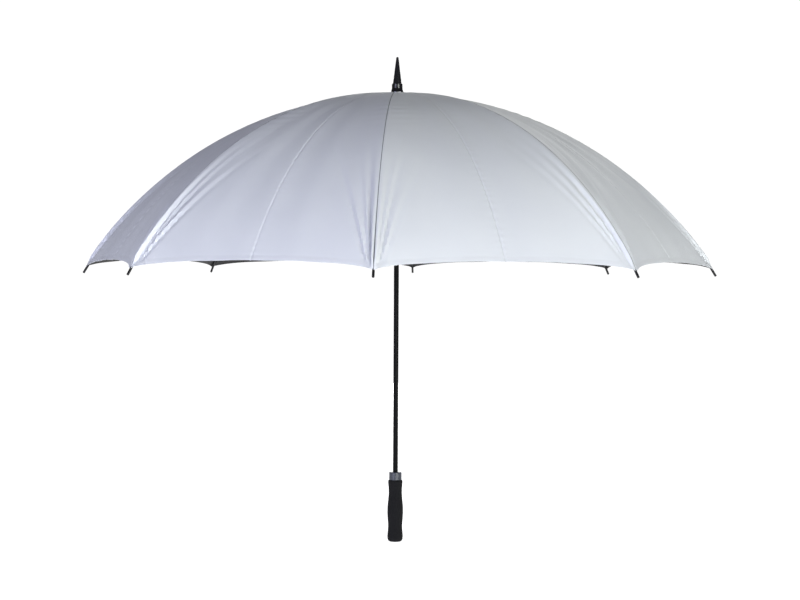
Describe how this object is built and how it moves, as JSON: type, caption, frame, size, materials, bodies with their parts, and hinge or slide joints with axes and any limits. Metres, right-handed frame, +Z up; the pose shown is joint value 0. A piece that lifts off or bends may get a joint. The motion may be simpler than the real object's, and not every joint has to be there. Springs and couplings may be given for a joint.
{
  "type": "stick umbrella",
  "caption": "Large manual stick umbrella with a silver outer cover, black lining, slim shaft and straight foam handle; the runner folds ribs, stretchers and cover.",
  "frame": {"origin": "centre of the handle's end face", "axes": "+Z up the shaft to the ferrule; rib 1 points along -Y"},
  "size_m": [1.3056, 1.3056, 0.996],
  "materials": {
    "silver_cover": "silver coated woven polyester, black inside",
    "rib_fibreglass": "black pultruded fibreglass",
    "tip_plastic": "moulded black",
    "stretcher_steel": "black enamel",
    "shaft_enamel": "black enamel, satin",
    "crown_plastic": "moulded black",
    "wire_steel": "drawn wire",
    "rosette_metal": "bright",
    "ferrule_plastic": "moulded black gloss",
    "collar_plastic": "moulded blue-grey black",
    "grip_foam": "closed-cell foam"
  },
  "bodies": {
    "frame": {"shaft_tube": "shaft_enamel", "crown_notch": "crown_plastic", "crown_ring_wire": "wire_steel", "canopy_rosette": "rosette_metal", "ferrule_cap": "ferrule_plastic", "ferrule_spike": "ferrule_plastic", "handle_core": "collar_plastic", "handle_grip": "grip_foam"},
    "runner": {"runner_sleeve": "crown_plastic", "runner_ring_wire": "wire_steel"},
    "top_catch": {"top_catch": "wire_steel"},
    "bottom_catch": {"bottom_catch": "wire_steel"},
    "rib_inner_1": {"rib_inner_1": "rib_fibreglass"},
    "rib_outer_1": {"rib_outer_1": "rib_fibreglass", "rib_tip_1": "tip_plastic"},
    "stretcher_1": {"stretcher_1": "stretcher_steel"},
    "cover_inner_1": {"panel_inner_1": "silver_cover"},
    "cover_outer_1": {"panel_outer_1": "silver_cover"},
    "rib_inner_2": {"rib_inner_2": "rib_fibreglass"},
    "rib_outer_2": {"rib_outer_2": "rib_fibreglass", "rib_tip_2": "tip_plastic"},
    "stretcher_2": {"stretcher_2": "stretcher_steel"},
    "cover_inner_2": {"panel_inner_2": "silver_cover"},
    "cover_outer_2": {"panel_outer_2": "silver_cover"},
    "rib_inner_3": {"rib_inner_3": "rib_fibreglass"},
    "rib_outer_3": {"rib_outer_3": "rib_fibreglass", "rib_tip_3": "tip_plastic"},
    "stretcher_3": {"stretcher_3": "stretcher_steel"},
    "cover_inner_3": {"panel_inner_3": "silver_cover"},
    "cover_outer_3": {"panel_outer_3": "silver_cover"},
    "rib_inner_4": {"rib_inner_4": "rib_fibreglass"},
    "rib_outer_4": {"rib_outer_4": "rib_fibreglass", "rib_tip_4": "tip_plastic"},
    "stretcher_4": {"stretcher_4": "stretcher_steel"},
    "cover_inner_4": {"panel_inner_4": "silver_cover"},
    "cover_outer_4": {"panel_outer_4": "silver_cover"},
    "rib_inner_5": {"rib_inner_5": "rib_fibreglass"},
    "rib_outer_5": {"rib_outer_5": "rib_fibreglass", "rib_tip_5": "tip_plastic"},
    "stretcher_5": {"stretcher_5": "stretcher_steel"},
    "cover_inner_5": {"panel_inner_5": "silver_cover"},
    "cover_outer_5": {"panel_outer_5": "silver_cover"},
    "rib_inner_6": {"rib_inner_6": "rib_fibreglass"},
    "rib_outer_6": {"rib_outer_6": "rib_fibreglass", "rib_tip_6": "tip_plastic"},
    "stretcher_6": {"stretcher_6": "stretcher_steel"},
    "cover_inner_6": {"panel_inner_6": "silver_cover"},
    "cover_outer_6": {"panel_outer_6": "silver_cover"},
    "rib_inner_7": {"rib_inner_7": "rib_fibreglass"},
    "rib_outer_7": {"rib_outer_7": "rib_fibreglass", "rib_tip_7": "tip_plastic"},
    "stretcher_7": {"stretcher_7": "stretcher_steel"},
    "cover_inner_7": {"panel_inner_7": "silver_cover"},
    "cover_outer_7": {"panel_outer_7": "silver_cover"},
    "rib_inner_8": {"rib_inner_8": "rib_fibreglass"},
    "rib_outer_8": {"rib_outer_8": "rib_fibreglass", "rib_tip_8": "tip_plastic"},
    "stretcher_8": {"stretcher_8": "stretcher_steel"},
    "cover_inner_8": {"panel_inner_8": "silver_cover"},
    "cover_outer_8": {"panel_outer_8": "silver_cover"}
  },
  "joints": [
    {"name": "runner_slide", "type": "slide", "parent": "frame", "child": "runner", "axis": [0, 0, -1], "range_m": [0, 0.43133], "deforming": ["panel_inner_1", "panel_outer_1", "panel_inner_2", "panel_outer_2", "panel_inner_3", "panel_outer_3", "panel_inner_4", "panel_outer_4", "panel_inner_5", "panel_outer_5", "panel_inner_6", "panel_outer_6", "panel_inner_7", "panel_outer_7", "panel_inner_8", "panel_outer_8", "top_catch", "bottom_catch"]},
    {"name": "rib_fold_1", "type": "hinge", "parent": "frame", "child": "rib_inner_1", "pos_m": [0, -0.0105, 0.91793], "axis": [1, 0, 0], "range_deg": [0, 74.22]},
    {"name": "knee_1", "type": "hinge", "parent": "rib_inner_1", "child": "rib_outer_1", "pos_m": [0, -0.33709, 0.83748], "axis": [-1, 0, 0], "range_deg": [0, 27.78]},
    {"name": "stretcher_pivot_1", "type": "hinge", "parent": "rib_inner_1", "child": "stretcher_1", "pos_m": [0, -0.33487, 0.833], "axis": [-1, 0, 0], "range_deg": [0, 132.1]},
    {"name": "cover_inner_fold_1", "type": "hinge", "parent": "rib_inner_1", "child": "cover_inner_1", "pos_m": [-0.1635, 0.39473, 0.61144], "axis": [-0.3137, 0.7573, -0.5728], "range_deg": [0, 53.41]},
    {"name": "cover_outer_fold_1", "type": "hinge", "parent": "rib_outer_1", "child": "cover_outer_1", "pos_m": [-0.14783, 0.3569, 0.97447], "axis": [-0.3557, 0.8589, -0.3685], "range_deg": [0, 34.74]},
    {"name": "rib_fold_2", "type": "hinge", "parent": "frame", "child": "rib_inner_2", "pos_m": [0.00742, -0.00742, 0.91793], "axis": [0.7071, 0.7071, 0], "range_deg": [0, 74.22]},
    {"name": "knee_2", "type": "hinge", "parent": "rib_inner_2", "child": "rib_outer_2", "pos_m": [0.23836, -0.23836, 0.83748], "axis": [-0.7071, -0.7071, 0], "range_deg": [0, 27.78]},
    {"name": "stretcher_pivot_2", "type": "hinge", "parent": "rib_inner_2", "child": "stretcher_2", "pos_m": [0.23679, -0.23679, 0.833], "axis": [-0.7071, -0.7071, 0], "range_deg": [0, 132.1]},
    {"name": "cover_inner_fold_2", "type": "hinge", "parent": "rib_inner_2", "child": "cover_inner_2", "pos_m": [-0.39473, 0.1635, 0.61144], "axis": [-0.7573, 0.3137, -0.5728], "range_deg": [0, 53.41]},
    {"name": "cover_outer_fold_2", "type": "hinge", "parent": "rib_outer_2", "child": "cover_outer_2", "pos_m": [-0.3569, 0.14783, 0.97447], "axis": [-0.8589, 0.3557, -0.3685], "range_deg": [0, 34.74]},
    {"name": "rib_fold_3", "type": "hinge", "parent": "frame", "child": "rib_inner_3", "pos_m": [0.0105, 0, 0.91793], "axis": [0, 1, 0], "range_deg": [0, 74.22]},
    {"name": "knee_3", "type": "hinge", "parent": "rib_inner_3", "child": "rib_outer_3", "pos_m": [0.33709, 0, 0.83748], "axis": [0, -1, 0], "range_deg": [0, 27.78]},
    {"name": "stretcher_pivot_3", "type": "hinge", "parent": "rib_inner_3", "child": "stretcher_3", "pos_m": [0.33487, 0, 0.833], "axis": [0, -1, 0], "range_deg": [0, 132.1]},
    {"name": "cover_inner_fold_3", "type": "hinge", "parent": "rib_inner_3", "child": "cover_inner_3", "pos_m": [-0.39473, -0.1635, 0.61144], "axis": [-0.7573, -0.3137, -0.5728], "range_deg": [0, 53.41]},
    {"name": "cover_outer_fold_3", "type": "hinge", "parent": "rib_outer_3", "child": "cover_outer_3", "pos_m": [-0.3569, -0.14783, 0.97447], "axis": [-0.8589, -0.3557, -0.3685], "range_deg": [0, 34.74]},
    {"name": "rib_fold_4", "type": "hinge", "parent": "frame", "child": "rib_inner_4", "pos_m": [0.00742, 0.00742, 0.91793], "axis": [-0.7071, 0.7071, 0], "range_deg": [0, 74.22]},
    {"name": "knee_4", "type": "hinge", "parent": "rib_inner_4", "child": "rib_outer_4", "pos_m": [0.23836, 0.23836, 0.83748], "axis": [0.7071, -0.7071, 0], "range_deg": [0, 27.78]},
    {"name": "stretcher_pivot_4", "type": "hinge", "parent": "rib_inner_4", "child": "stretcher_4", "pos_m": [0.23679, 0.23679, 0.833], "axis": [0.7071, -0.7071, 0], "range_deg": [0, 132.1]},
    {"name": "cover_inner_fold_4", "type": "hinge", "parent": "rib_inner_4", "child": "cover_inner_4", "pos_m": [-0.1635, -0.39473, 0.61144], "axis": [-0.3137, -0.7573, -0.5728], "range_deg": [0, 53.41]},
    {"name": "cover_outer_fold_4", "type": "hinge", "parent": "rib_outer_4", "child": "cover_outer_4", "pos_m": [-0.14783, -0.3569, 0.97447], "axis": [-0.3557, -0.8589, -0.3685], "range_deg": [0, 34.74]},
    {"name": "rib_fold_5", "type": "hinge", "parent": "frame", "child": "rib_inner_5", "pos_m": [0, 0.0105, 0.91793], "axis": [-1, 0, 0], "range_deg": [0, 74.22]},
    {"name": "knee_5", "type": "hinge", "parent": "rib_inner_5", "child": "rib_outer_5", "pos_m": [0, 0.33709, 0.83748], "axis": [1, 0, 0], "range_deg": [0, 27.78]},
    {"name": "stretcher_pivot_5", "type": "hinge", "parent": "rib_inner_5", "child": "stretcher_5", "pos_m": [0, 0.33487, 0.833], "axis": [1, 0, 0], "range_deg": [0, 132.1]},
    {"name": "cover_inner_fold_5", "type": "hinge", "parent": "rib_inner_5", "child": "cover_inner_5", "pos_m": [0.1635, -0.39473, 0.61144], "axis": [0.3137, -0.7573, -0.5728], "range_deg": [0, 53.41]},
    {"name": "cover_outer_fold_5", "type": "hinge", "parent": "rib_outer_5", "child": "cover_outer_5", "pos_m": [0.14783, -0.3569, 0.97447], "axis": [0.3557, -0.8589, -0.3685], "range_deg": [0, 34.74]},
    {"name": "rib_fold_6", "type": "hinge", "parent": "frame", "child": "rib_inner_6", "pos_m": [-0.00742, 0.00742, 0.91793], "axis": [-0.7071, -0.7071, 0], "range_deg": [0, 74.22]},
    {"name": "knee_6", "type": "hinge", "parent": "rib_inner_6", "child": "rib_outer_6", "pos_m": [-0.23836, 0.23836, 0.83748], "axis": [0.7071, 0.7071, 0], "range_deg": [0, 27.78]},
    {"name": "stretcher_pivot_6", "type": "hinge", "parent": "rib_inner_6", "child": "stretcher_6", "pos_m": [-0.23679, 0.23679, 0.833], "axis": [0.7071, 0.7071, 0], "range_deg": [0, 132.1]},
    {"name": "cover_inner_fold_6", "type": "hinge", "parent": "rib_inner_6", "child": "cover_inner_6", "pos_m": [0.39473, -0.1635, 0.61144], "axis": [0.7573, -0.3137, -0.5728], "range_deg": [0, 53.41]},
    {"name": "cover_outer_fold_6", "type": "hinge", "parent": "rib_outer_6", "child": "cover_outer_6", "pos_m": [0.3569, -0.14783, 0.97447], "axis": [0.8589, -0.3557, -0.3685], "range_deg": [0, 34.74]},
    {"name": "rib_fold_7", "type": "hinge", "parent": "frame", "child": "rib_inner_7", "pos_m": [-0.0105, 0, 0.91793], "axis": [0, -1, 0], "range_deg": [0, 74.22]},
    {"name": "knee_7", "type": "hinge", "parent": "rib_inner_7", "child": "rib_outer_7", "pos_m": [-0.33709, 0, 0.83748], "axis": [0, 1, 0], "range_deg": [0, 27.78]},
    {"name": "stretcher_pivot_7", "type": "hinge", "parent": "rib_inner_7", "child": "stretcher_7", "pos_m": [-0.33487, 0, 0.833], "axis": [0, 1, 0], "range_deg": [0, 132.1]},
    {"name": "cover_inner_fold_7", "type": "hinge", "parent": "rib_inner_7", "child": "cover_inner_7", "pos_m": [0.39473, 0.1635, 0.61144], "axis": [0.7573, 0.3137, -0.5728], "range_deg": [0, 53.41]},
    {"name": "cover_outer_fold_7", "type": "hinge", "parent": "rib_outer_7", "child": "cover_outer_7", "pos_m": [0.3569, 0.14783, 0.97447], "axis": [0.8589, 0.3557, -0.3685], "range_deg": [0, 34.74]},
    {"name": "rib_fold_8", "type": "hinge", "parent": "frame", "child": "rib_inner_8", "pos_m": [-0.00742, -0.00742, 0.91793], "axis": [0.7071, -0.7071, 0], "range_deg": [0, 74.22]},
    {"name": "knee_8", "type": "hinge", "parent": "rib_inner_8", "child": "rib_outer_8", "pos_m": [-0.23836, -0.23836, 0.83748], "axis": [-0.7071, 0.7071, 0], "range_deg": [0, 27.78]},
    {"name": "stretcher_pivot_8", "type": "hinge", "parent": "rib_inner_8", "child": "stretcher_8", "pos_m": [-0.23679, -0.23679, 0.833], "axis": [-0.7071, 0.7071, 0], "range_deg": [0, 132.1]},
    {"name": "cover_inner_fold_8", "type": "hinge", "parent": "rib_inner_8", "child": "cover_inner_8", "pos_m": [0.1635, 0.39473, 0.61144], "axis": [0.3137, 0.7573, -0.5728], "range_deg": [0, 53.41]},
    {"name": "cover_outer_fold_8", "type": "hinge", "parent": "rib_outer_8", "child": "cover_outer_8", "pos_m": [0.14783, 0.3569, 0.97447], "axis": [0.3557, 0.8589, -0.3685], "range_deg": [0, 34.74]},
    {"name": "top_catch_press", "type": "hinge", "parent": "frame", "child": "top_catch", "pos_m": [0, 0.0024, 0.562], "axis": [1, 0, 0], "range_deg": [0, 7], "stiffness_Nm_per_rad": 0.05},
    {"name": "bottom_catch_press", "type": "hinge", "parent": "frame", "child": "bottom_catch", "pos_m": [0, 0.0024, 0.226], "axis": [-1, 0, 0], "range_deg": [0, 7], "stiffness_Nm_per_rad": 0.05}
  ],
  "couplings": [
    {"joint": "rib_fold_1", "follows": "runner_slide", "rad_per_m": 3.0025},
    {"joint": "knee_1", "follows": "runner_slide", "rad_per_m": 1.1231},
    {"joint": "stretcher_pivot_1", "follows": "runner_slide", "rad_per_m": 5.3447},
    {"joint": "cover_inner_fold_1", "follows": "runner_slide", "rad_per_m": 2.1603},
    {"joint": "cover_outer_fold_1", "follows": "runner_slide", "rad_per_m": 1.4048},
    {"joint": "rib_fold_2", "follows": "runner_slide", "rad_per_m": 3.0025},
    {"joint": "knee_2", "follows": "runner_slide", "rad_per_m": 1.1231},
    {"joint": "stretcher_pivot_2", "follows": "runner_slide", "rad_per_m": 5.3447},
    {"joint": "cover_inner_fold_2", "follows": "runner_slide", "rad_per_m": 2.1603},
    {"joint": "cover_outer_fold_2", "follows": "runner_slide", "rad_per_m": 1.4048},
    {"joint": "rib_fold_3", "follows": "runner_slide", "rad_per_m": 3.0025},
    {"joint": "knee_3", "follows": "runner_slide", "rad_per_m": 1.1231},
    {"joint": "stretcher_pivot_3", "follows": "runner_slide", "rad_per_m": 5.3447},
    {"joint": "cover_inner_fold_3", "follows": "runner_slide", "rad_per_m": 2.1603},
    {"joint": "cover_outer_fold_3", "follows": "runner_slide", "rad_per_m": 1.4048},
    {"joint": "rib_fold_4", "follows": "runner_slide", "rad_per_m": 3.0025},
    {"joint": "knee_4", "follows": "runner_slide", "rad_per_m": 1.1231},
    {"joint": "stretcher_pivot_4", "follows": "runner_slide", "rad_per_m": 5.3447},
    {"joint": "cover_inner_fold_4", "follows": "runner_slide", "rad_per_m": 2.1603},
    {"joint": "cover_outer_fold_4", "follows": "runner_slide", "rad_per_m": 1.4048},
    {"joint": "rib_fold_5", "follows": "runner_slide", "rad_per_m": 3.0025},
    {"joint": "knee_5", "follows": "runner_slide", "rad_per_m": 1.1231},
    {"joint": "stretcher_pivot_5", "follows": "runner_slide", "rad_per_m": 5.3447},
    {"joint": "cover_inner_fold_5", "follows": "runner_slide", "rad_per_m": 2.1603},
    {"joint": "cover_outer_fold_5", "follows": "runner_slide", "rad_per_m": 1.4048},
    {"joint": "rib_fold_6", "follows": "runner_slide", "rad_per_m": 3.0025},
    {"joint": "knee_6", "follows": "runner_slide", "rad_per_m": 1.1231},
    {"joint": "stretcher_pivot_6", "follows": "runner_slide", "rad_per_m": 5.3447},
    {"joint": "cover_inner_fold_6", "follows": "runner_slide", "rad_per_m": 2.1603},
    {"joint": "cover_outer_fold_6", "follows": "runner_slide", "rad_per_m": 1.4048},
    {"joint": "rib_fold_7", "follows": "runner_slide", "rad_per_m": 3.0025},
    {"joint": "knee_7", "follows": "runner_slide", "rad_per_m": 1.1231},
    {"joint": "stretcher_pivot_7", "follows": "runner_slide", "rad_per_m": 5.3447},
    {"joint": "cover_inner_fold_7", "follows": "runner_slide", "rad_per_m": 2.1603},
    {"joint": "cover_outer_fold_7", "follows": "runner_slide", "rad_per_m": 1.4048},
    {"joint": "rib_fold_8", "follows": "runner_slide", "rad_per_m": 3.0025},
    {"joint": "knee_8", "follows": "runner_slide", "rad_per_m": 1.1231},
    {"joint": "stretcher_pivot_8", "follows": "runner_slide", "rad_per_m": 5.3447},
    {"joint": "cover_inner_fold_8", "follows": "runner_slide", "rad_per_m": 2.1603},
    {"joint": "cover_outer_fold_8", "follows": "runner_slide", "rad_per_m": 1.4048}
  ]
}
